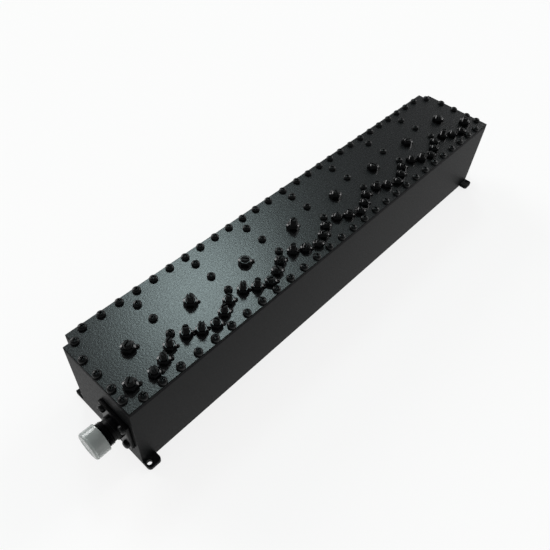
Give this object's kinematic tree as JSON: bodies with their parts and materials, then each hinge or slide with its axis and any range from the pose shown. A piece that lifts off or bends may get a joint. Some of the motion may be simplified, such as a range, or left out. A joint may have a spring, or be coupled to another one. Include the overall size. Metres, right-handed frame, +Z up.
{
  "type": "cavity filter",
  "caption": "Long black coaxial cavity filter: milled box with a screwed-down cover, slotted tuning screws under lock nuts, and a capped threaded jack on each end face.",
  "frame": {"origin": "on the flat resting face, at the middle of the housing's length and width", "axes": "+X along the length from the input end to the output end, +Z up to the cover, -Y towards the long side with the two ears"},
  "size_m": [0.4168, 0.0739, 0.071],
  "materials": {
    "black_paint": "black powder coat with a fine orange peel",
    "screw_black": "black oxide, slightly oiled",
    "tuner_black": "blackened brass, glossy",
    "silver_plate": "silver plated, turned",
    "steel": "zinc plated",
    "connector_plate": "black chromate on brass",
    "insulator": "white PTFE",
    "contact_metal": "gold plated",
    "cap_plastic": "translucent pale grey, moulded"
  },
  "bodies": {
    "chassis": {"housing": "black_paint", "cover": "black_paint", "cover_screws_front": "screw_black", "cover_screws_back": "screw_black", "cover_screws_partition": "screw_black", "cover_screws_end": "screw_black", "resonator_1": "silver_plate", "resonator_2": "silver_plate", "resonator_3": "silver_plate", "resonator_4": "silver_plate", "resonator_5": "silver_plate", "resonator_6": "silver_plate", "resonator_7": "silver_plate", "resonator_8": "silver_plate", "resonator_bolts": "steel", "tuning_nuts": "tuner_black", "side_trimmer_nuts": "tuner_black", "coupling_screws_1": "tuner_black", "coupling_screws_2": "tuner_black", "coupling_screws_3": "tuner_black", "coupling_screws_4": "tuner_black", "coupling_screws_5": "tuner_black", "coupling_screws_6": "tuner_black", "coupling_screws_7": "tuner_black", "coupling_nuts": "tuner_black", "port_trimmer_nuts": "tuner_black", "input_connector": "connector_plate", "input_insulator": "insulator", "input_contact": "contact_metal", "input_tap_wire": "contact_metal", "input_flange_screws": "screw_black", "output_connector": "connector_plate", "output_insulator": "insulator", "output_contact": "contact_metal", "output_tap_wire": "contact_metal", "output_flange_screws": "screw_black"},
    "tuning_screw_1": {"tuning_screw_1": "tuner_black"},
    "tuning_screw_2": {"tuning_screw_2": "tuner_black"},
    "tuning_screw_3": {"tuning_screw_3": "tuner_black"},
    "tuning_screw_4": {"tuning_screw_4": "tuner_black"},
    "tuning_screw_5": {"tuning_screw_5": "tuner_black"},
    "tuning_screw_6": {"tuning_screw_6": "tuner_black"},
    "tuning_screw_7": {"tuning_screw_7": "tuner_black"},
    "tuning_screw_8": {"tuning_screw_8": "tuner_black"},
    "side_trimmer_1": {"side_trimmer_1": "tuner_black"},
    "side_trimmer_2": {"side_trimmer_2": "tuner_black"},
    "side_trimmer_3": {"side_trimmer_3": "tuner_black"},
    "side_trimmer_4": {"side_trimmer_4": "tuner_black"},
    "side_trimmer_5": {"side_trimmer_5": "tuner_black"},
    "side_trimmer_6": {"side_trimmer_6": "tuner_black"},
    "side_trimmer_7": {"side_trimmer_7": "tuner_black"},
    "side_trimmer_8": {"side_trimmer_8": "tuner_black"},
    "input_trimmer": {"input_trimmer": "tuner_black"},
    "output_trimmer": {"output_trimmer": "tuner_black"},
    "input_dust_cap": {"input_dust_cap": "cap_plastic"},
    "output_dust_cap": {"output_dust_cap": "cap_plastic"}
  },
  "joints": [
    {"name": "tuning_screw_1_travel", "type": "slide", "parent": "chassis", "child": "tuning_screw_1", "axis": [0, 0, 1], "range_m": [-0.003, 0.0052]},
    {"name": "tuning_screw_2_travel", "type": "slide", "parent": "chassis", "child": "tuning_screw_2", "axis": [0, 0, 1], "range_m": [-0.004, 0.0042]},
    {"name": "tuning_screw_3_travel", "type": "slide", "parent": "chassis", "child": "tuning_screw_3", "axis": [0, 0, 1], "range_m": [-0.001, 0.0072]},
    {"name": "tuning_screw_4_travel", "type": "slide", "parent": "chassis", "child": "tuning_screw_4", "axis": [0, 0, 1], "range_m": [-0.0047, 0.0035]},
    {"name": "tuning_screw_5_travel", "type": "slide", "parent": "chassis", "child": "tuning_screw_5", "axis": [0, 0, 1], "range_m": [-0.0017, 0.0065]},
    {"name": "tuning_screw_6_travel", "type": "slide", "parent": "chassis", "child": "tuning_screw_6", "axis": [0, 0, 1], "range_m": [-0.0008, 0.0074]},
    {"name": "tuning_screw_7_travel", "type": "slide", "parent": "chassis", "child": "tuning_screw_7", "axis": [0, 0, 1], "range_m": [-0.0006, 0.0076]},
    {"name": "tuning_screw_8_travel", "type": "slide", "parent": "chassis", "child": "tuning_screw_8", "axis": [0, 0, 1], "range_m": [-0.0017, 0.0065]},
    {"name": "side_trimmer_1_travel", "type": "slide", "parent": "chassis", "child": "side_trimmer_1", "axis": [0, 0, 1], "range_m": [-0.0036, 0.005]},
    {"name": "side_trimmer_2_travel", "type": "slide", "parent": "chassis", "child": "side_trimmer_2", "axis": [0, 0, 1], "range_m": [-0.0031, 0.0055]},
    {"name": "side_trimmer_3_travel", "type": "slide", "parent": "chassis", "child": "side_trimmer_3", "axis": [0, 0, 1], "range_m": [-0.0014, 0.0072]},
    {"name": "side_trimmer_4_travel", "type": "slide", "parent": "chassis", "child": "side_trimmer_4", "axis": [0, 0, 1], "range_m": [-0.001, 0.0076]},
    {"name": "side_trimmer_5_travel", "type": "slide", "parent": "chassis", "child": "side_trimmer_5", "axis": [0, 0, 1], "range_m": [-0.001, 0.0076]},
    {"name": "side_trimmer_6_travel", "type": "slide", "parent": "chassis", "child": "side_trimmer_6", "axis": [0, 0, 1], "range_m": [-0.001, 0.0076]},
    {"name": "side_trimmer_7_travel", "type": "slide", "parent": "chassis", "child": "side_trimmer_7", "axis": [0, 0, 1], "range_m": [-0.001, 0.0076]},
    {"name": "side_trimmer_8_travel", "type": "slide", "parent": "chassis", "child": "side_trimmer_8", "axis": [0, 0, 1], "range_m": [-0.0014, 0.0072]},
    {"name": "input_trimmer_travel", "type": "slide", "parent": "chassis", "child": "input_trimmer", "axis": [0, 0, 1], "range_m": [-0.0037, 0.0045]},
    {"name": "output_trimmer_travel", "type": "slide", "parent": "chassis", "child": "output_trimmer", "axis": [0, 0, 1], "range_m": [-0.0027, 0.0055]},
    {"name": "input_dust_cap_travel", "type": "slide", "parent": "chassis", "child": "input_dust_cap", "axis": [-1, 0, 0], "range_m": [0, 0.022]},
    {"name": "output_dust_cap_travel", "type": "slide", "parent": "chassis", "child": "output_dust_cap", "axis": [1, 0, 0], "range_m": [0, 0.022]}
  ]
}
